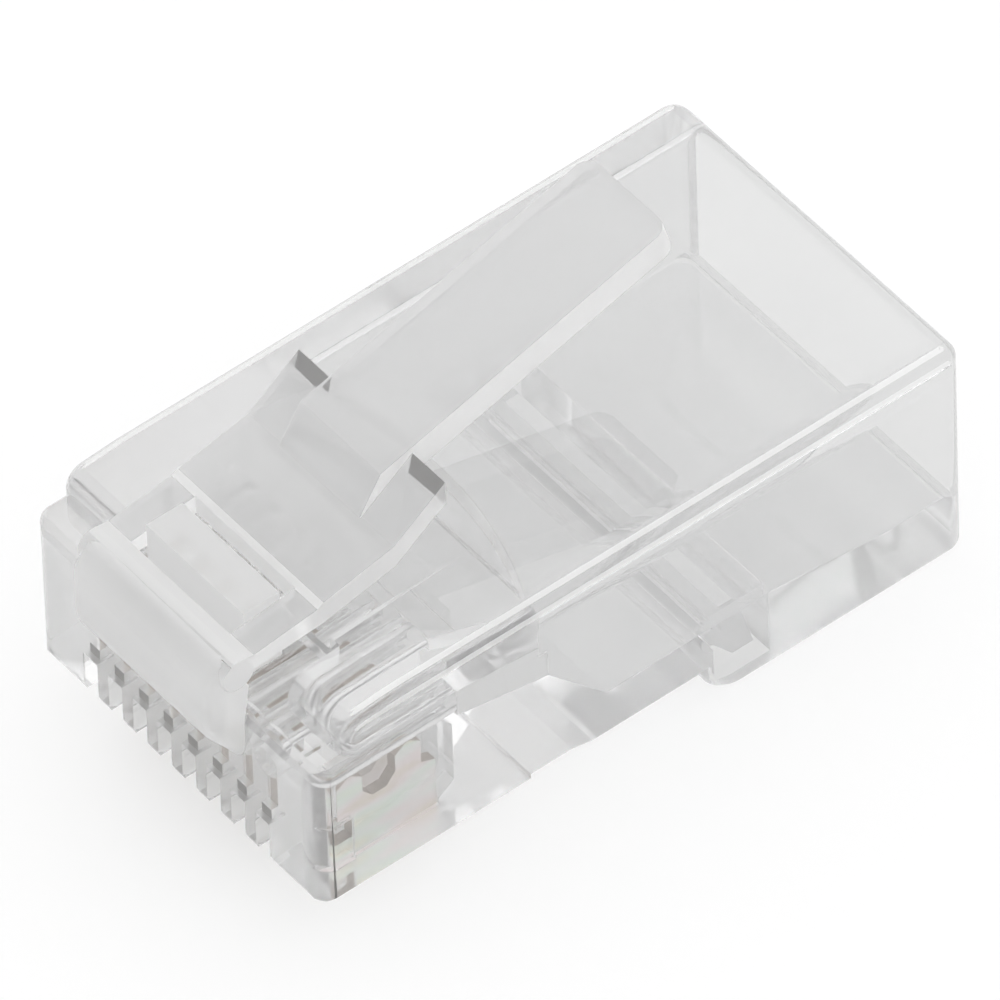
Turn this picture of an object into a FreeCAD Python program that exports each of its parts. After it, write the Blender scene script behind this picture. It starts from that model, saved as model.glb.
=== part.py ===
"""An eight-way modular cable plug: clear housing with latch, eight blade contacts and strain-relief bar.

Millimetres. +X is the plug's right side, +Y runs from the nose to the cable end and +Z is up, latch side up.
The row origin is the middle of the bounding box at its lowest level. Every body is drawn in plug
coordinates, whose zero is the front face on the centre line, level with the underside of the rear block.
"""
import FreeCAD, Part
import os
import Sketcher
from FreeCAD import Vector

SIZES = {
    # housing envelope
    "body_length": 21.46, "body_width": 11.68, "body_height": 7.6,
    "front_rise": 1.33, "rear_block_y": 12.66, "ledge_depth": 0.98, "ledge_drop": 1.25,
    "rail_length": 1.8, "rail_slope_drop": 0.12, "rail_round": 0.7,
    "comb_end": 6.95, "recess_length": 1.35, "recess_ramp": 0.67, "recess_rise": 0.16,
    "corner_round": 0.6, "long_round": 0.4, "low_round": 0.25, "mouth_round": 0.12,
    "ledge_round": 0.32, "comb_round": 0.3,
    # latch well between the two front rails
    "well_gap": 0.6, "ramp_gap": 0.2, "ramp_drop": 0.52, "ramp_back": 7.0,
    # nose arch, and the stop that stands in the latch window
    "arch_out": 1.0, "arch_foot_drop": 3.1, "belly_rise": 1.4, "arch_top_rise": 0.05, "arch_wall": 1.0,
    "arch_side_round": 0.5, "arch_round": 0.85, "crown_round": 0.3, "crown_back": 0.4,
    "stop_width": 4.0, "stop_front": 0.86, "stop_length": 1.18, "stop_rise": 1.13,
    # cable cavity
    "side_wall": 0.74, "top_wall": 0.95, "floor_wall": 1.07, "mouth_floor": 1.92, "mouth_level_length": 2.46,
    "lip_drop": 0.5, "lip_length": 0.55, "floor_y": 9.7, "ramp_length": 1.85, "cavity_round": 0.45,
    "guide_y": 5.2, "dome_y": 7.55, "dome_bulge": 1.2,
    # wire channels and contact slots
    "ways": 8, "pitch": 1.016, "channel_radius": 0.46, "channel_rise": 3.53, "channel_front": 0.7,
    "slot_width": 0.58, "slot_flare": 0.12, "slot_height": 1.52, "slot_length": 1.82, "blade_gap": 0.04,
    "pocket_front": 0.56, "pocket_rise": 1.88, "pocket_back": 5.1,
    # contacts
    "blade_thick": 0.32, "blade_front": 1.2, "blade_length": 3.35, "seated_depth": 0.55,
    "notch_depth": 0.64, "notch_low": 0.78, "notch_height": 0.76, "tine_height": 3.18, "fork_depth": 1.22,
    "tine_width": 0.84, "tine_setback": 0.45, "shoulder_height": 1.85, "blade_round": 0.2,
    "crimp_stroke": 0.65,
    # latch
    "hinge_y": -0.1, "hinge_rise": 0.34, "barrel_radius": 0.5, "running_gap": 0.02,
    "latch_width": 6.0, "arm_width": 0.95, "arm_rise": 1.0, "window_back": 2.5, "plate_y": 2.68,
    "plate_rise": 1.12, "kink_y": 5.0, "kink_rise": 1.59, "hook_y": 6.7, "hook_rise": 2.82,
    "hook_height": 0.76, "plate_thick": 0.74, "tab_width": 3.3, "tab_y": 4.95, "tab_rise": 2.0,
    "tab_crease": 5.67, "crease_rise": 2.72, "tab_end": 15.2, "tab_end_rise": 5.37, "tab_thick": 0.9,
    "tab_round": 0.45,
    # strain-relief bar
    "bar_side": 0.45, "bar_gap": 0.12, "bar_hinge_y": 13.3, "bar_hinge_z": 1.72, "bar_barrel": 0.36,
    "bar_nose": 0.45, "bar_slant": 0.5, "bar_back": 14.72, "bar_low": 0.6, "bar_swing_gap": 0.43,
}


def fill_sheet():
    """The named sizes, one row each: name, value."""
    table = document.addObject("Spreadsheet::Sheet", "Sizes")
    for row, (name, value) in enumerate(SIZES.items(), start=1):
        table.set(f"A{row}", name)
        table.set(f"B{row}", str(value))
        table.setAlias(f"B{row}", name)
    document.recompute()
    return table


def bind(text):
    """An expression in which every size name reads its cell."""
    return " ".join(f"Sizes.{word}" if word in SIZES else word for word in text.split())


def value_of(text):
    """The present value of an expression of size names."""
    return float(document.Sizes.evalExpression(bind(text)))


def new_body(label, across="0"):
    """A body whose plug coordinates sit in the row frame, shifted across by an expression."""
    body = document.addObject("PartDesign::Body", label)
    body.Label = label
    body.setExpression(".Placement.Base.x", bind(across))
    body.setExpression(".Placement.Base.y", bind("( arch_out - body_length ) / 2"))
    return body


def new_sketch(body, name, role, offset="0"):
    """An empty sketch on one of the body's origin planes, moved along its normal."""
    sketch = body.newObject("Sketcher::SketchObject", name)
    plane = next(item for item in body.Origin.OriginFeatures if item.Role == role)
    sketch.AttachmentSupport = [(plane, "")]
    sketch.MapMode = "FlatFace"
    sketch.setExpression(".AttachmentOffset.Base.z", bind(offset))
    return sketch


def pin(sketch, geometry, point, across, up):
    """Holds one sketch point at two expressions measured from the sketch origin."""
    for kind, text in (("DistanceX", across), ("DistanceY", up)):
        index = sketch.addConstraint(Sketcher.Constraint(kind, -1, 1, geometry, point, value_of(text)))
        sketch.setExpression(f"Constraints[{index}]", bind(text))


def outline(sketch, corners):
    """A closed outline of straight sides through corners, each given as two expressions."""
    spots = [Vector(value_of(across), value_of(up), 0) for across, up in corners]
    for index, spot in enumerate(spots):
        sketch.addGeometry(Part.LineSegment(spot, spots[(index + 1) % len(spots)]), False)
    for index, (across, up) in enumerate(corners):
        previous = (index - 1) % len(corners)
        sketch.addConstraint(Sketcher.Constraint("Coincident", previous, 2, index, 1))
        pin(sketch, index, 1, across, up)
    return sketch


def rectangle(sketch, left, right, low, high):
    """A closed rectangle between four expressions."""
    return outline(sketch, [(left, low), (right, low), (right, high), (left, high)])


def circle(sketch, across, up, radius):
    """One circle with its centre and radius held by expressions."""
    centre = Vector(value_of(across), value_of(up), 0)
    index = sketch.addGeometry(Part.Circle(centre, Vector(0, 0, 1), value_of(radius)), False)
    pin(sketch, index, 3, across, up)
    held = sketch.addConstraint(Sketcher.Constraint("Radius", index, value_of(radius)))
    sketch.setExpression(f"Constraints[{held}]", bind(radius))
    return sketch


def extrude(kind, body, sketch, name, length, symmetric=True):
    """A pad or pocket of that length, to both sides of its sketch unless told otherwise."""
    feature = body.newObject(f"PartDesign::{kind}", name)
    feature.Profile = sketch
    feature.SideType = "Symmetric" if symmetric else "One side"
    feature.setExpression("Length", bind(length))
    document.recompute()
    return feature


def side_pad(body, name, corners, width):
    """A pad of a side-view outline, centred on the plug's middle plane."""
    side = outline(new_sketch(body, name + "_side", "YZ_Plane"), corners)
    return extrude("Pad", body, side, name, width)


def side_pocket(body, name, corners, width):
    """A cut of a side-view outline, centred on the plug's middle plane."""
    side = outline(new_sketch(body, name + "_side", "YZ_Plane"), corners)
    return extrude("Pocket", body, side, name, width)


def repeat(body, feature, name):
    """The feature once for every way, stepping across the plug from the first."""
    pattern = body.newObject("PartDesign::LinearPattern", name)
    pattern.Originals = [feature]
    axis = next(item for item in body.Origin.OriginFeatures if item.Role == "X_Axis")
    pattern.Direction = (axis, [""])
    pattern.Mode = "Spacing"
    pattern.setExpression("Offset", bind("pitch"))
    pattern.setExpression("Occurrences", bind("ways"))
    body.Tip = pattern
    document.recompute()
    return pattern


def edges_where(feature, test):
    """Names of the edges whose middle point and direction pass the test."""
    names = []
    for number, edge in enumerate(feature.Shape.Edges, start=1):
        middle = edge.valueAt((edge.FirstParameter + edge.LastParameter) / 2)
        run = (edge.Vertexes[-1].Point - edge.Vertexes[0].Point) if len(edge.Vertexes) > 1 else Vector()
        if test(middle, run):
            names.append(f"Edge{number}")
    return names


def soften(body, name, radius, test, kind="Fillet"):
    """A fillet or chamfer on the edges of the body's present tip that pass the test."""
    base = body.Tip
    feature = body.newObject(f"PartDesign::{kind}", name)
    feature.Base = (base, edges_where(base, test))
    feature.setExpression("Radius" if kind == "Fillet" else "Size", bind(radius))
    document.recompute()
    return feature


def near(value, text, slack=0.02):
    """True where a coordinate is at that expression."""
    return abs(value - value_of(text)) < slack


def runs_across(run):
    """True for an edge that runs along X."""
    return abs(run.x) > 0.02 and abs(run.y) < 0.01 and abs(run.z) < 0.01


def runs_long(run):
    """True for an edge that runs along Y, level or sloping."""
    return abs(run.y) > 0.3 and abs(run.x) < 0.01


def runs_up(run):
    """True for an edge that runs along Z."""
    return abs(run.z) > 0.02 and abs(run.x) < 0.01 and abs(run.y) < 0.01


def shell_block(body):
    """The outer block: front block, rails, comb underside, shallow recess and deeper rear block."""
    side_pad(body, "shell_block", [
        ("0", "front_rise + comb_round"),
        ("comb_round * 0.29", "front_rise + comb_round * 0.29"),
        ("comb_round", "front_rise"),
        ("comb_end", "front_rise"),
        ("comb_end", "front_rise + recess_rise"),
        ("comb_end + recess_length", "front_rise + recess_rise"),
        ("comb_end + recess_length + recess_ramp", "front_rise"),
        ("rear_block_y", "front_rise"),
        ("rear_block_y", "0"),
        ("body_length", "0"),
        ("body_length", "body_height"),
        ("ledge_depth + rail_length", "body_height"),
        ("ledge_depth", "body_height - rail_slope_drop"),
        ("ledge_depth", "body_height - ledge_drop"),
        ("ledge_round", "body_height - ledge_drop"),
        ("ledge_round * 0.29", "body_height - ledge_drop - ledge_round * 0.29"),
        ("0", "body_height - ledge_drop - ledge_round"),
    ], "body_width")
    soften(body, "step_round", "front_rise - 0.03",
           lambda m, r: runs_across(r) and near(m.y, "rear_block_y") and near(m.z, "0"))
    top_low = value_of("body_height - ledge_drop") + 0.05
    soften(body, "rail_front_round", "rail_round",
           lambda m, r: runs_across(r) and near(m.y, "ledge_depth")
           and near(m.z, "body_height - rail_slope_drop"))
    soften(body, "long_top_rounds", "long_round",
           lambda m, r: near(abs(m.x), "body_width / 2") and abs(r.x) < 0.01 and m.z > top_low
           and m.y < value_of("body_length") - 0.05)
    soften(body, "corner_rounds", "corner_round",
           lambda m, r: runs_up(r) and (near(m.y, "0") or near(m.y, "body_length")))
    soften(body, "long_low_rounds", "low_round",
           lambda m, r: runs_long(r) and near(m.z, "0") and near(abs(m.x), "body_width / 2"))


def latch_well(body):
    """The well between the rails, and the shallow ramp that leaves room under the pressed latch."""
    side_pocket(body, "latch_well", [
        ("0 - 1", "body_height - ledge_drop"),
        ("ledge_depth + rail_length - 0.1", "body_height - ledge_drop"),
        ("ledge_depth + rail_length - 0.1", "body_height + 1"),
        ("0 - 1", "body_height + 1"),
    ], "latch_width + 2 * well_gap")
    side_pocket(body, "latch_ramp", [
        ("ledge_depth + rail_length - 0.2", "body_height - ramp_drop"),
        ("ramp_back", "body_height"),
        ("ramp_back", "body_height + 1"),
        ("ledge_depth + rail_length - 0.2", "body_height + 1"),
    ], "latch_width + 2 * ramp_gap")


def nose_arch(body):
    """The full-width arch that carries the latch, its hinge socket, and the stop inside the latch window."""
    side_pad(body, "nose_arch", [
        ("0.3", "body_height - arch_foot_drop"),
        ("0", "body_height - arch_foot_drop"),
        ("0 - arch_out", "body_height - arch_foot_drop + belly_rise"),
        ("0 - arch_out", "body_height + arch_top_rise"),
        ("hinge_y - crown_back", "body_height + hinge_rise + barrel_radius"),
        ("hinge_y", "body_height + hinge_rise + barrel_radius"),
        ("hinge_y", "body_height + hinge_rise"),
        ("hinge_y + 0.3", "body_height + hinge_rise - 0.6"),
        ("arch_wall - arch_out + 0.05", "body_height - ledge_drop"),
        ("0.3", "body_height - ledge_drop - 0.2"),
    ], "latch_width")
    soften(body, "crown_round", "crown_round",
           lambda m, r: runs_across(r) and near(m.y, "hinge_y - crown_back"))
    soften(body, "arch_rounds", "arch_round",
           lambda m, r: runs_across(r) and near(m.y, "0 - arch_out"))
    soften(body, "arch_side_rounds", "arch_side_round",
           lambda m, r: abs(r.x) < 0.01 and near(abs(m.x), "latch_width / 2")
           and m.y < value_of("hinge_y") - 0.02)
    socket = new_sketch(body, "hinge_socket_side", "YZ_Plane")
    circle(socket, "hinge_y", "body_height + hinge_rise", "barrel_radius + running_gap")
    extrude("Pocket", body, socket, "hinge_socket", "latch_width + 1")
    side_pad(body, "window_stop", [
        ("stop_front", "body_height - ledge_drop - 0.2"),
        ("stop_front + stop_length", "body_height - ledge_drop - 0.2"),
        ("stop_front + stop_length", "body_height + stop_rise"),
        ("stop_front", "body_height + stop_rise"),
    ], "stop_width")


def cable_cavity(body):
    """The open cable cavity: floor with entry ramp and lip, rounded front dome, tapered wire guide."""
    inner = "body_width - 2 * side_wall"
    low_guide = "front_rise + channel_rise - channel_radius"
    high_guide = "front_rise + channel_rise + channel_radius"
    side_pocket(body, "cavity_floor", [
        ("body_length + 1", "mouth_floor - lip_drop"),
        ("body_length", "mouth_floor - lip_drop"),
        ("body_length - lip_length", "mouth_floor"),
        ("body_length - mouth_level_length", "mouth_floor"),
        ("bar_back + bar_swing_gap", "front_rise + floor_wall"),
        ("floor_y", "front_rise + floor_wall"),
        ("floor_y - ramp_length", low_guide),
        ("floor_y - ramp_length", high_guide),
        ("body_length + 1", high_guide),
    ], inner)
    dome = new_sketch(body, "cavity_dome_plan", "XY_Plane", "body_height - top_wall")
    half = "( body_width / 2 - side_wall )"
    places = [(f"0 - {half}", "dome_y"), ("0", "dome_y + dome_bulge"), (half, "dome_y"),
              (half, "body_length + 1"), (f"0 - {half}", "body_length + 1")]
    spots = [Vector(value_of(across), value_of(along), 0) for across, along in places]
    dome.addGeometry(Part.Arc(spots[0], spots[1], spots[2]), False)
    dome.addGeometry(Part.LineSegment(spots[2], spots[3]), False)
    dome.addGeometry(Part.LineSegment(spots[3], spots[4]), False)
    dome.addGeometry(Part.LineSegment(spots[4], spots[0]), False)
    pin(dome, 1, 1, half, "dome_y")
    pin(dome, 2, 1, half, "body_length + 1")
    pin(dome, 3, 1, f"0 - {half}", "body_length + 1")
    pin(dome, 3, 2, f"0 - {half}", "dome_y")
    for first, second in (((1, 2), (2, 1)), ((2, 2), (3, 1))):
        dome.addConstraint(Sketcher.Constraint("Coincident", *first, *second))
    ends = sorted(((dome.getPoint(0, end).x, end) for end in (1, 2)))
    dome.addConstraint(Sketcher.Constraint("Coincident", 0, ends[0][1], 3, 2))
    dome.addConstraint(Sketcher.Constraint("Coincident", 0, ends[1][1], 1, 1))
    radius = f"( {half} * {half} + dome_bulge * dome_bulge ) / ( 2 * dome_bulge )"
    held = dome.addConstraint(Sketcher.Constraint("Radius", 0, value_of(radius)))
    dome.setExpression(f"Constraints[{held}]", bind(radius))
    extrude("Pocket", body, dome, "cavity_dome", f"body_height - top_wall - ( {high_guide} ) + 0.01", False)
    soften(body, "cavity_rounds", "cavity_round",
           lambda m, r: runs_long(r) and near(m.z, "body_height - top_wall") and near(abs(m.x), half))
    soften(body, "mouth_chamfer", "mouth_round",
           lambda m, r: near(m.y, "body_length") and abs(m.x) < value_of(half) + 0.02
           and value_of("mouth_floor - lip_drop") - 0.02 < m.z < value_of("body_height - top_wall") + 0.02,
           "Chamfer")
    wide = new_sketch(body, "guide_wide", "XZ_Plane", "0 - ( floor_y - ramp_length + 0.05 )")
    rectangle(wide, f"0 - {half}", half, low_guide, f"{high_guide} + 0.3")
    narrow = new_sketch(body, "guide_narrow", "XZ_Plane", "0 - guide_y")
    reach = "( ( ways - 1 ) * pitch / 2 + channel_radius )"
    rectangle(narrow, f"0 - {reach}", reach, low_guide, high_guide)
    loft = body.newObject("PartDesign::SubtractiveLoft", "wire_guide")
    loft.Profile = wide
    loft.Sections = [(narrow, [""])]
    loft.Ruled = True
    document.recompute()


def wire_ways(body):
    """The wire channels, and below each its contact slot with the narrower blade pocket."""
    first = "0 - ( ways - 1 ) * pitch / 2"
    bore = new_sketch(body, "channel_end", "XZ_Plane", "0 - channel_front")
    circle(bore, first, "front_rise + channel_rise", "channel_radius")
    channel = extrude("Pocket", body, bore, "channel", "guide_y - channel_front + 0.1", False)
    repeat(body, channel, "channels")
    slot = new_sketch(body, "slot_end", "XZ_Plane", "1")
    outline(slot, [
        (f"{first} - slot_width / 2 - slot_flare", "front_rise - 1"),
        (f"{first} + slot_width / 2 + slot_flare", "front_rise - 1"),
        (f"{first} + slot_width / 2 + slot_flare", "front_rise"),
        (f"{first} + slot_width / 2", "front_rise + slot_flare"),
        (f"{first} + slot_width / 2", "front_rise + slot_height"),
        (f"{first} - slot_width / 2", "front_rise + slot_height"),
        (f"{first} - slot_width / 2", "front_rise + slot_flare"),
        (f"{first} - slot_width / 2 - slot_flare", "front_rise"),
    ])
    repeat(body, extrude("Pocket", body, slot, "slot", "slot_length + 1", False), "slots")
    pocket = new_sketch(body, "pocket_side", "YZ_Plane", first)
    outline(pocket, [
        ("pocket_front", "front_rise + slot_height - 0.05"),
        ("slot_length - 0.1", "front_rise + slot_height - 0.05"),
        ("slot_length - 0.1", "front_rise - 1"),
        ("blade_front + blade_length + blade_gap", "front_rise - 1"),
        ("blade_front + blade_length + blade_gap", "front_rise + 0.25"),
        ("pocket_back", "front_rise + 0.6"),
        ("pocket_back", "front_rise + channel_rise - channel_radius - 0.35"),
        ("pocket_back - 0.4", "front_rise + channel_rise - channel_radius + 0.1"),
        ("blade_front + 0.1", "front_rise + channel_rise - channel_radius + 0.1"),
        ("blade_front + 0.1", "front_rise + pocket_rise"),
        ("pocket_front", "front_rise + pocket_rise"),
    ])
    repeat(body, extrude("Pocket", body, pocket, "pocket", "blade_thick + 2 * blade_gap"), "pockets")


def bar_window(body):
    """The window in the floor that the strain-relief bar swings in, and the socket of its hinge web."""
    width = "body_width - 2 * side_wall - 2 * bar_side + 2 * bar_gap"
    side_pocket(body, "bar_window", [
        ("bar_hinge_y", "0 - 1"),
        ("bar_back + bar_swing_gap", "0 - 1"),
        ("bar_back + bar_swing_gap", "front_rise + floor_wall + 0.5"),
        ("bar_hinge_y", "front_rise + floor_wall + 0.5"),
    ], width)
    socket = new_sketch(body, "bar_socket_side", "YZ_Plane")
    circle(socket, "bar_hinge_y", "bar_hinge_z", "bar_barrel + running_gap")
    extrude("Pocket", body, socket, "bar_socket", width)


def housing():
    """The clear moulded housing."""
    body = new_body("housing")
    shell_block(body)
    latch_well(body)
    nose_arch(body)
    cable_cavity(body)
    wire_ways(body)
    bar_window(body)
    return body


def contact(number):
    """One gold-plated blade: forked piercing tines above, a relief notch in front, stepped back edge."""
    body = new_body(f"contact_{number}", f"( {number} - ( ways + 1 ) / 2 ) * pitch")
    back = "blade_front + blade_length"
    low = "( front_rise + seated_depth - crimp_stroke )"
    tip = f"{low} + tine_height"
    side_pad(body, f"blade_{number}", [
        ("blade_front", low),
        (back, low),
        (back, f"{low} + shoulder_height"),
        (f"{back} - tine_setback", f"{low} + shoulder_height + 0.2"),
        (f"{back} - tine_setback", f"{tip} - 0.3"),
        (f"{back} - tine_setback - tine_width / 2", tip),
        (f"{back} - tine_setback - tine_width", f"{tip} - 0.3"),
        (f"{back} - tine_setback - tine_width", f"{tip} - fork_depth + 0.35"),
        (f"{back} - tine_setback - tine_width - 0.3", f"{tip} - fork_depth"),
        ("blade_front + 0.15 + tine_width + 0.3", f"{tip} - fork_depth"),
        ("blade_front + 0.15 + tine_width", f"{tip} - fork_depth + 0.35"),
        ("blade_front + 0.15 + tine_width", f"{tip} - 0.3"),
        ("blade_front + 0.15 + tine_width / 2", tip),
        ("blade_front + 0.15", f"{tip} - 0.3"),
        ("blade_front + 0.15", f"{low} + notch_low + notch_height + 0.15"),
        ("blade_front + notch_depth", f"{low} + notch_low + notch_height"),
        ("blade_front + notch_depth", f"{low} + notch_low"),
        ("blade_front", f"{low} + notch_low"),
    ], "blade_thick")
    soften(body, f"blade_rounds_{number}", "blade_round",
           lambda m, r: runs_across(r) and (near(m.z, low) or near(m.z, tip)))
    return body


def latch_tab():
    """The springing latch: barrel, two arms beside the window, plate with locking shoulders, finger tab."""
    body = new_body("latch_tab")
    top = "body_height"
    side_pad(body, "plate", [
        ("hinge_y", f"{top} + hinge_rise + barrel_radius"),
        ("hinge_y", f"{top} + hinge_rise - 0.1"),
        ("hinge_y + barrel_radius", f"{top} + hinge_rise - 0.1"),
        ("plate_y", f"{top} + plate_rise - plate_thick"),
        ("kink_y", f"{top} + kink_rise - plate_thick"),
        ("hook_y", f"{top} + hook_rise - hook_height"),
        ("hook_y", f"{top} + hook_rise"),
        ("kink_y", f"{top} + kink_rise"),
        ("plate_y", f"{top} + plate_rise"),
        ("plate_y - 0.2", f"{top} + arm_rise"),
        ("hinge_y + barrel_radius", f"{top} + arm_rise - 0.24"),
    ], "latch_width")
    barrel = new_sketch(body, "barrel_side", "YZ_Plane")
    circle(barrel, "hinge_y", f"{top} + hinge_rise", "barrel_radius")
    extrude("Pad", body, barrel, "barrel", "latch_width")
    window = new_sketch(body, "window_plan", "XY_Plane", f"{top} + tab_end_rise")
    half = "( latch_width / 2 - arm_width )"
    rectangle(window, f"0 - {half}", half, "hinge_y + barrel_radius - 0.02", "window_back")
    extrude("Pocket", body, window, "window", "body_height", False)
    side_pad(body, "tab", [
        ("tab_y", f"{top} + kink_rise - plate_thick / 2"),
        ("hook_y - 0.3", f"{top} + hook_rise - hook_height - 0.1"),
        ("tab_end + 0.25", f"{top} + tab_end_rise - tab_thick"),
        ("tab_end", f"{top} + tab_end_rise"),
        ("tab_crease", f"{top} + crease_rise"),
        ("tab_y", f"{top} + tab_rise"),
    ], "tab_width")
    soften(body, "tab_end_rounds", "tab_round",
           lambda m, r: m.y > value_of("tab_end") - 0.05 and abs(r.x) < 0.01 and abs(r.z) > 0.3)
    return body


def strain_relief_bar():
    """The hinged bar in the floor that the crimp swings up onto the cable jacket."""
    body = new_body("strain_relief_bar")
    side_pad(body, "bar", [
        ("bar_hinge_y", "bar_hinge_z - bar_barrel * 0.7"),
        ("bar_hinge_y + 2 * bar_barrel", "bar_low"),
        ("bar_back", "bar_low"),
        ("bar_back - bar_slant", "front_rise + floor_wall"),
        ("bar_hinge_y + bar_nose", "front_rise + floor_wall"),
        ("bar_hinge_y + bar_barrel", "bar_hinge_z"),
    ], "body_width - 2 * side_wall - 2 * bar_side")
    barrel = new_sketch(body, "bar_barrel_side", "YZ_Plane")
    circle(barrel, "bar_hinge_y", "bar_hinge_z", "bar_barrel")
    extrude("Pad", body, barrel, "bar_barrel_pad", "body_width - 2 * side_wall - 2 * bar_side")
    return body


def export(bodies):
    """Stops on a broken feature, then writes one STEP file a node."""
    for item in document.Objects:
        if "Invalid" in item.State or "Error" in item.State:
            raise RuntimeError(f"{item.Label} did not build: {item.State}")
    os.makedirs("parts", exist_ok=True)
    for body in bodies:
        if body.Shape.isNull() or not body.Shape.isValid():
            raise RuntimeError(f"{body.Label} has no valid solid")
        body.Shape.exportStep(f"parts/{body.Label}.step")


document = FreeCAD.newDocument("modular_plug")
fill_sheet()
nodes = [housing(), latch_tab(), strain_relief_bar()]
nodes += [contact(number) for number in range(1, int(document.Sizes.ways) + 1)]
document.recompute()
export(nodes)
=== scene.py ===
"""Looks of the clear eight-way modular plug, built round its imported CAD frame. Metres; row frame."""
import math
from collections import namedtuple

import bmesh
import bpy
from mathutils import Matrix, Vector


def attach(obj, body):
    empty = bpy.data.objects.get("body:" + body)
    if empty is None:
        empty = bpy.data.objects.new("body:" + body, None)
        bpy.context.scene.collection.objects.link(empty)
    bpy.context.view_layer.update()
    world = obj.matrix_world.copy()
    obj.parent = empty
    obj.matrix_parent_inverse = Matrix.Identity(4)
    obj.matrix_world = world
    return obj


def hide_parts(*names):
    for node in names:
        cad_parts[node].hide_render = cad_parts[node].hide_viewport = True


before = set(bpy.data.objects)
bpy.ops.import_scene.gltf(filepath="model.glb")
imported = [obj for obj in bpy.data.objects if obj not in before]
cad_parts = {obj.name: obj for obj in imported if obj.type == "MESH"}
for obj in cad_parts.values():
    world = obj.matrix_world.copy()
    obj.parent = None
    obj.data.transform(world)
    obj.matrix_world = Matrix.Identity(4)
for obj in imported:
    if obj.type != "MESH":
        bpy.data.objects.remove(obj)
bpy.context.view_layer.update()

MM = 0.001
SHIFT = Vector((0.0, -10.23 * MM, 0.0))      # plug coordinates to the row frame

# Places below are in plug millimetres: X across, Y from the front face to the cable end, Z up from the base.
NEAR = 0.03                                  # how far a face's middle may lie from the surface it is on
FACING = 0.9                                 # a normal this far along an axis faces that way
ACROSS = 0.2                                 # a normal less than this along an axis lies across it
UNDERSIDE = 0.1                              # the housing's lowest faces lie below this

# a barrel in its socket: axis, radius of the touching faces, half its length, and the side that is covered,
# which is where y * lean_y + z * lean_z < level, measured from the axis
Seam = namedtuple("Seam", "y z radius half lean_y lean_z level")
SEAMS = (Seam(y=-0.1, z=7.94, radius=0.505, half=2.995, lean_y=0.932, lean_z=0.363, level=0.048),
         Seam(y=13.3, z=1.72, radius=0.365, half=4.645, lean_y=1.0, lean_z=0.0, level=0.0))

# the long rounds on top of the housing, and how steep their two borders are, in degrees; the borders get a
# painted highlight
ROUND_X, ROUND_Z = 5.42, 7.18
ROUND_FRONT, ROUND_REAR = 0.7, 21.0
LOWER_BORDER, UPPER_BORDER = (2, 24), (66, 88)

# the nose arch that carries the latch, and the stop that stands in the latch's window
ARCH_HALF, ARCH_REAR, ARCH_BASE, ARCH_FACE = 3.02, 0.35, 4.45, -0.02
STOP_HALF, STOP_FRONT, STOP_REAR = 2.02, 0.8, 2.1
FRONT_BLOCK_TOP = 6.4

# the blind front windows of the blade pockets, and the latch's locking shoulders seen from behind: where
# painted shade goes
WINDOW_Y, WINDOW_BOTTOM, WINDOW_TOP = 0.56, 2.75, 3.3
SHOULDER_Y, SHOULDER_INNER, SHOULDER_FOOT = 6.7, 1.6, 9.6

# the latch: its barrel; the rear wall of its window with the ridge on it, which get a painted highlight; and
# where its lower edges show, which get a painted shade line
LATCH_BODY = "latch"
BARREL_REAR, SIDES_FRONT, EASED_FRONT = 0.45, 0.5, 0.6
WALL_FRONT, WALL_REAR = 2.3, 2.6
RIDGE_FRONT, RIDGE_REAR, RIDGE_FOOT = 2.4, 2.72, 8.5
LOWER_EDGE_FRONT = 2.6
SIDEWAYS, DOWNWARD, UPWARD = 0.35, -0.3, 0.2

# the step at the finger tab's root: where it stands, its top, and the plate that it runs out on
ROOT_Y, ROOT_TOP, ROOT_PLATE = 4.95, 9.6, 9.18
EASED_EDGE, EASED_ANGLE = 0.07, 28

# the plastic, with its ripples' depth and its roundings in millimetres
PLASTIC_IOR = 1.585
RIPPLES_PER_METRE, RIPPLE_DEPTH = 380.0, 0.02
RIPPLE_DARK, RIPPLE_LIGHT = (-0.02, -0.018, -0.017), (0.02, 0.022, 0.02)     # what a ripple adds to the tint
MOULDED_ROUND = 0.05                         # every edge of a moulding catches light as if rounded by this
SURFACE_DEPTH, DEEPEST = 1.5, 5.5            # ray depths: what the camera sees first, and what is too deep
PAINTED_DEEP_GLOW = 0.77                                  # painted light: the flat grey that the plastic glows for a ray thrown about inside it past DEEPEST


def plug(x, y, z):
    """A point given in plug millimetres, in the row frame."""
    return Vector((x * MM, y * MM, z * MM)) + SHIFT


def in_plug(point):
    """A point of the row frame, in plug millimetres."""
    return (point - SHIFT) / MM


def grey(level):
    """A grey colour with full alpha."""
    return (level, level, level, 1.0)


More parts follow.
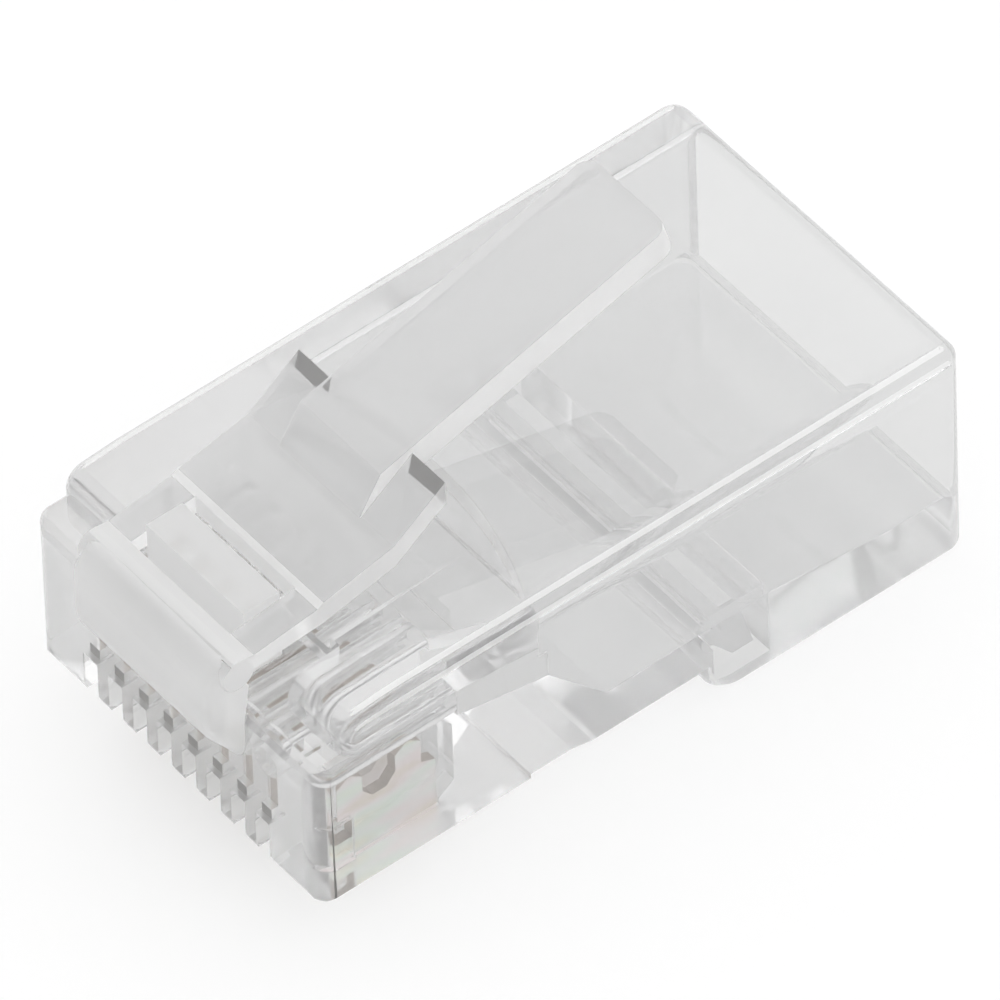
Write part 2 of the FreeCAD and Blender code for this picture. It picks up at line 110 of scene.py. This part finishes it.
class Shader:
    """A material as it is written, node by node. An input takes a value or another node's socket."""

    def __init__(self, name):
        self.material = bpy.data.materials.new(name)
        self.material.use_nodes = True
        self.tree = self.material.node_tree
        self.tree.nodes.clear()

    def feed(self, node, key, value):
        """One input, by its name or number."""
        if isinstance(value, bpy.types.NodeSocket):
            self.tree.links.new(value, node.inputs[key])
        else:
            node.inputs[key].default_value = value

    def add(self, kind, settings=None, **inputs):
        """A node with its settings, and its inputs by name with _ for a blank."""
        node = self.tree.nodes.new(kind)
        for key, value in (settings or {}).items():
            setattr(node, key, value)
        for key, value in inputs.items():
            self.feed(node, key.replace("_", " "), value)
        return node

    def join(self, kind, *values, settings=None):
        """The first output of a node that takes its inputs in order."""
        node = self.add(kind, settings)
        for index, value in enumerate(values):
            self.feed(node, index, value)
        return node.outputs[0]

    def math(self, operation, *values):
        """The result of one sum."""
        return self.join("ShaderNodeMath", *values, settings={"operation": operation})

    def mix(self, factor, first, second):
        """Two shaders, mixed."""
        return self.join("ShaderNodeMixShader", factor, first, second)

    def blend(self, factor, first, second):
        """Two colours, mixed. The node takes colours at inputs 6 and 7 and gives one at output 2."""
        node = self.add("ShaderNodeMix", {"data_type": "RGBA"})
        for index, value in ((0, factor), (6, (*first, 1.0)), (7, (*second, 1.0))):
            self.feed(node, index, value)
        return node.outputs[2]

    def noise(self, scale, detail, stretch=None):
        """Noise that lies still on the object, stretched along its axes if asked."""
        place = self.add("ShaderNodeTexCoord").outputs["Object"]
        if stretch:
            place = self.add("ShaderNodeMapping", Vector=place, Scale=stretch).outputs[0]
        return self.add("ShaderNodeTexNoise", Vector=place, Scale=scale, Detail=detail).outputs["Fac"]

    def bsdf(self, kind, **inputs):
        """The shader of one BSDF node."""
        return self.add(f"ShaderNodeBsdf{kind}", **inputs).outputs[0]

    def output(self, surface):
        """The finished material."""
        self.add("ShaderNodeOutputMaterial", Surface=surface)
        return self.material


def moulding(name, rough, haze, milk, tint, wave=0.10):
    """Clear moulded polycarbonate: a faint ripple, some haze, and as much frosting as the mould gave it.

    Shadow and diffuse rays pass straight through, so that the floor under the plug is lit only once.
    """
    shader = Shader(name)
    ripple = shader.noise(RIPPLES_PER_METRE, detail=0.0)
    rounded = shader.add("ShaderNodeBevel", {"samples": 2}, Radius=MOULDED_ROUND * MM).outputs[0]
    bump = shader.add("ShaderNodeBump", Strength=wave, Distance=RIPPLE_DEPTH * MM, Height=ripple,
                      Normal=rounded)
    darker, lighter = ([tint + change for change in changes] for changes in (RIPPLE_DARK, RIPPLE_LIGHT))
    surface = shader.bsdf("Principled", IOR=PLASTIC_IOR, Metallic=0.0, Roughness=rough,
                          Transmission_Weight=1.0, Base_Color=shader.blend(ripple, darker, lighter),
                          Normal=bump.outputs[0])
    inner = shader.bsdf("Glass", IOR=PLASTIC_IOR, Roughness=rough, Color=grey(0.96))
    light = shader.add("ShaderNodeLightPath").outputs
    inside = shader.math("GREATER_THAN", light["Ray Depth"], SURFACE_DEPTH)
    clear = shader.mix(inside, surface, inner)
    front = shader.bsdf("Diffuse", Color=grey(milk))
    back = shader.bsdf("Translucent", Color=grey(milk))
    plastic = shader.mix(haze, clear, shader.mix(0.5, front, back))
    # painted light: a ray deeper than DEEPEST ends on this flat grey glow
    glow = shader.add("ShaderNodeEmission", Color=grey(PAINTED_DEEP_GLOW), Strength=1.0).outputs[0]
    plastic = shader.mix(shader.math("GREATER_THAN", light["Ray Depth"], DEEPEST), plastic, glow)
    passing = shader.math("MAXIMUM", light["Is Shadow Ray"], light["Is Diffuse Ray"])
    return shader.output(shader.mix(passing, plastic, shader.bsdf("Transparent", Color=grey(0.95))))


def seam(name):
    """The faces where a barrel lies in its socket: the moulding reads as one piece there."""
    shader = Shader(name)
    return shader.output(shader.bsdf("Transparent", Color=grey(1.0)))


def painted_shade(name):
    """Painted shade: small blind faces painted near-black, in place of the dark side of the room that the
    plastic would throw back.
    """
    shader = Shader(name)
    darkest, lightest = (0.02, 0.02, 0.02), (0.20, 0.19, 0.175)
    dark = shader.blend(shader.noise(1500.0, detail=1.0), darkest, lightest)
    body = shader.bsdf("Principled", IOR=PLASTIC_IOR, Metallic=0.0, Roughness=0.2, Base_Color=dark)
    cover = 0.9
    return shader.output(shader.mix(cover, shader.bsdf("Transparent", Color=grey(1.0)), body))


def gold(name):
    """Thin gold plating on bronze: nearly white here, with rolling streaks and a faint play of colour."""
    shader = Shader(name)
    streak = shader.noise(1.0, detail=2.0, stretch=(300.0, 260.0, 1100.0))
    play = shader.add("ShaderNodeValToRGB", Fac=streak)
    tints = ((0.30, (0.86, 0.78, 0.66)), (0.42, (0.98, 0.87, 0.86)), (0.50, (0.96, 0.95, 0.93)),
             (0.58, (0.86, 0.96, 0.86)), (0.70, (0.98, 0.90, 0.72)))
    while len(play.color_ramp.elements) < len(tints):
        play.color_ramp.elements.new(0.5)
    for stop, (position, colour) in zip(play.color_ramp.elements, tints):
        stop.position = position
        stop.color = (*colour, 1.0)
    least_rough, rough_range = 0.04, 0.3
    rough = shader.math("MULTIPLY_ADD", streak, rough_range, least_rough)
    return shader.output(shader.bsdf("Principled", Metallic=1.0, Base_Color=play.outputs[0], Roughness=rough))


def cut_edge(name):
    """The stamped edges of a blade: bare, darker and duller than its plated faces."""
    shader = Shader(name)
    darkest, lightest = (0.34, 0.28, 0.23), (0.56, 0.47, 0.40)
    tint = shader.blend(shader.noise(2500.0, detail=1.0), darkest, lightest)
    return shader.output(shader.bsdf("Principled", Metallic=1.0, Roughness=0.4, Base_Color=tint))


def in_painted_highlight(spot, normal):
    """The two borders of the long rounds on top of the housing, painted lighter as fine highlight lines."""
    lean = math.degrees(math.atan2(normal.z, abs(normal.x)))
    on_border = any(least < lean < most for least, most in (LOWER_BORDER, UPPER_BORDER))
    on_round = abs(spot.x) > ROUND_X and spot.z > ROUND_Z and ROUND_FRONT < spot.y < ROUND_REAR
    return on_round and on_border and abs(normal.y) < ACROSS


def in_underside(spot, normal):
    """The housing's lowest faces, which have the mould's dull finish."""
    return normal.z < -FACING and spot.z < UNDERSIDE


def in_painted_light_side(spot, normal):
    """The side walls, given a lighter tint than the rest of the housing: painted light."""
    return abs(normal.x) > FACING


def in_seam(spot, normal):
    """Where a barrel's face lies in its socket."""
    for seat in SEAMS:
        y, z = spot.y - seat.y, spot.z - seat.z
        on_face = abs(math.hypot(y, z) - seat.radius) < NEAR and abs(spot.x) < seat.half
        if on_face and y * seat.lean_y + z * seat.lean_z < seat.level:
            return True
    return False


def in_frost(spot, normal):
    """The parts of the housing that the mould left matt: nose arch and window stop."""
    high = spot.z > FRONT_BLOCK_TOP
    on_nose = spot.z > ARCH_BASE and spot.y < ARCH_FACE
    arch = spot.y < ARCH_REAR and abs(spot.x) < ARCH_HALF and (high or on_nose)
    stop = STOP_FRONT < spot.y < STOP_REAR and abs(spot.x) < STOP_HALF and high
    return arch or stop


def in_painted_shade(spot, normal):
    """The blind front windows of the blade pockets, and the rear faces of the locking shoulders, which get
    painted shade.
    """
    window = abs(spot.y - WINDOW_Y) < NEAR and WINDOW_BOTTOM < spot.z < WINDOW_TOP
    shoulder = abs(spot.y - SHOULDER_Y) < NEAR and SHOULDER_INNER < abs(spot.x) and SHOULDER_FOOT < spot.z
    return window or shoulder


def in_barrel(spot, normal):
    """The latch's barrel, as dull as the nose arch that it lies in."""
    return spot.y < BARREL_REAR


def in_latch_painted_highlight(spot, normal):
    """The sides of the latch's plate and tab, and the rear wall of its window with the ridge on it, which get
    a painted highlight.
    """
    side = abs(normal.x) > SIDEWAYS and normal.z > DOWNWARD and spot.y > SIDES_FRONT
    wall = normal.y < -FACING and WALL_FRONT < spot.y < WALL_REAR
    ridge = RIDGE_FRONT < spot.y < RIDGE_REAR and spot.z > RIDGE_FOOT and normal.z > UPWARD
    return side or wall or ridge


def in_painted_shade_line(spot, normal):
    """The eased lower edges along the latch's sides, which get painted shade as dark lines against what lies
    below.
    """
    return abs(normal.x) > SIDEWAYS and normal.z < DOWNWARD and spot.y > LOWER_EDGE_FRONT


def on_cut_edge(spot, normal):
    """The faces round a blade, as against its two flat sides."""
    return abs(normal.x) < FACING


def dress(mesh, base, others):
    """The base material all over a mesh, and another where its test holds. The first that holds wins."""
    mesh.materials.clear()
    for material in (base, *(extra for extra, test in others)):
        mesh.materials.append(material)
    for face in mesh.polygons:
        spot = in_plug(face.center)
        held = (i for i, (extra, test) in enumerate(others, 1) if test(spot, face.normal))
        face.material_index = next(held, 0)


def latch_moulding():
    """The latch as the mould leaves it, in place of its CAD node.

    The finger tab's root runs out flush on the plate, and the edges behind the barrel are eased.
    """
    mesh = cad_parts["latch_tab"].data.copy()
    mesh.name = "latch_moulding"
    work = bmesh.new()
    work.from_mesh(mesh)
    for vertex in work.verts:
        spot = in_plug(vertex.co)
        if abs(spot.y - ROOT_Y) < NEAR and abs(spot.z - ROOT_TOP) < NEAR:
            vertex.co = plug(spot.x, spot.y, ROOT_PLATE)
    bmesh.ops.remove_doubles(work, verts=work.verts, dist=0.002 * MM)
    sharp = [edge for edge in work.edges if edge.calc_face_angle(0.0) > math.radians(EASED_ANGLE)
             and all(in_plug(vertex.co).y > EASED_FRONT for vertex in edge.verts)]
    bmesh.ops.bevel(work, geom=sharp, offset=EASED_EDGE * MM, segments=2, profile=0.5, affect="EDGES",
                    clamp_overlap=True)
    work.to_mesh(mesh)
    work.free()
    piece = bpy.data.objects.new("latch_moulding", mesh)
    bpy.context.collection.objects.link(piece)
    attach(piece, LATCH_BODY)
    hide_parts("latch_tab")
    return mesh


def dress_mouldings():
    """Housing, latch and strain-relief bar, which are one clear moulding with several finishes."""
    polished = moulding("clear_polycarbonate", rough=0.02, haze=0.14, milk=0.84, tint=0.74)
    # painted light: a lighter-tinted copy of the same plastic for the side walls
    painted_light_side = moulding("painted_light_side_polycarbonate", rough=0.02, haze=0.14, milk=0.84, tint=0.78)
    satin = moulding("satin_polycarbonate", rough=0.05, haze=0.30, milk=0.74, tint=0.78)
    # painted highlight: a milky, near-white copy of the plastic for edges that read as bright lines
    painted_highlight = moulding("painted_highlight_polycarbonate", rough=0.05, haze=0.62, milk=0.98, tint=0.97)
    frosted = moulding("frosted_polycarbonate", rough=0.2, haze=0.72, milk=0.86, tint=0.92, wave=0.2)
    # painted shade: a near-black cover for blind windows, shoulder backs and the latch's lower edge lines
    painted_dark = painted_shade("painted_shade_polycarbonate")
    joined = seam("moulded_together")
    on_housing = [(joined, in_seam), (painted_dark, in_painted_shade), (painted_highlight, in_painted_highlight), (frosted, in_frost),
                  (satin, in_underside), (painted_light_side, in_painted_light_side)]
    on_latch = [(joined, in_seam), (painted_dark, in_painted_shade), (painted_highlight, in_latch_painted_highlight), (painted_dark, in_painted_shade_line),
                (frosted, in_barrel)]
    dress(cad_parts["housing"].data, polished, on_housing)
    dress(latch_moulding(), satin, on_latch)
    dress(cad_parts["strain_relief_bar"].data, polished, [(joined, in_seam)])


def dress_contacts():
    """The eight blades: plated sides and bare stamped edges."""
    plating = gold("gold_plating")
    bare = cut_edge("stamped_edge")
    for number in range(1, 9):
        dress(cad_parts[f"contact_{number}"].data, plating, [(bare, on_cut_edge)])


def floor():
    """A plain pale floor that reads white and keeps the plug's shadow."""
    half = 3.0
    corners = [(-half, -half, 0), (half, -half, 0), (half, half, 0), (-half, half, 0)]
    mesh = bpy.data.meshes.new("floor")
    mesh.from_pydata(corners, [], [(0, 1, 2, 3)])
    obj = bpy.data.objects.new("floor", mesh)
    obj.location.z = -0.02 * MM              # just under the plug, so that the two faces don't fight
    bpy.context.collection.objects.link(obj)
    shader = Shader("floor_white")
    diffuse = shader.bsdf("Diffuse", Color=grey(0.6))
    glow = shader.add("ShaderNodeEmission", Color=grey(1.0), Strength=0.38).outputs[0]
    light = shader.add("ShaderNodeLightPath").outputs
    bent = shader.math("MAXIMUM", light["Is Glossy Ray"], light["Is Transmission Ray"])
    seen = shader.math("MAXIMUM", light["Is Camera Ray"], bent)
    both = shader.join("ShaderNodeAddShader", diffuse, glow)
    mesh.materials.append(shader.output(shader.mix(seen, diffuse, both)))


def camera():
    """The photograph's view: nearly parallel, from the nose's right and above."""
    azimuth, elevation, roll = (math.radians(angle) for angle in (52.86, 47.99, -2.10))
    aim = plug(0, 10.7, 4.0)
    distance = 0.7
    back = Vector((math.sin(azimuth) * math.cos(elevation), -math.cos(azimuth) * math.cos(elevation),
                   math.sin(elevation)))
    level = Vector((math.cos(azimuth), math.sin(azimuth), 0.0))
    rise = back.cross(level)
    right = level * math.cos(roll) + rise * math.sin(roll)
    up = rise * math.cos(roll) - level * math.sin(roll)
    data = bpy.data.cameras.new("photo_camera")
    data.sensor_width = 36.0
    data.lens = 978.012
    data.shift_x = -0.00027
    data.shift_y = 0.00919
    data.clip_start = 0.01
    obj = bpy.data.objects.new("photo_camera", data)
    bpy.context.collection.objects.link(obj)
    turn = Matrix((right, up, back)).transposed()
    obj.matrix_world = Matrix.Translation(aim + back * distance) @ turn.to_4x4()
    bpy.context.scene.camera = obj


def lights():
    """A pale world, a little brighter above, with one broad soft lamp."""
    world = bpy.data.worlds.new("studio")
    bpy.context.scene.world = world
    world.use_nodes = True
    tree = world.node_tree
    place = tree.nodes.new("ShaderNodeTexCoord")
    split = tree.nodes.new("ShaderNodeSeparateXYZ")
    ramp = tree.nodes.new("ShaderNodeValToRGB")
    tree.links.new(place.outputs["Generated"], split.inputs[0])
    tree.links.new(split.outputs[2], ramp.inputs[0])
    tree.links.new(ramp.outputs[0], tree.nodes["Background"].inputs[0])
    lower, upper = ramp.color_ramp.elements
    lower.color = grey(0.94)
    upper.color = grey(1.0)
    upper.position = 0.6
    tree.nodes["Background"].inputs[1].default_value = 1.0
    lamp = bpy.data.lights.new("soft_box", "AREA")
    lamp.size = 0.3
    lamp.energy = 0.15
    obj = bpy.data.objects.new("soft_box", lamp)
    bpy.context.collection.objects.link(obj)
    obj.location = (-0.15, 0.1, 0.35)
    obj.rotation_euler = (-obj.location).to_track_quat("-Z", "Y").to_euler()


bpy.context.scene.view_settings.view_transform = "Standard"
dress_mouldings()
dress_contacts()
floor()
lights()
camera()
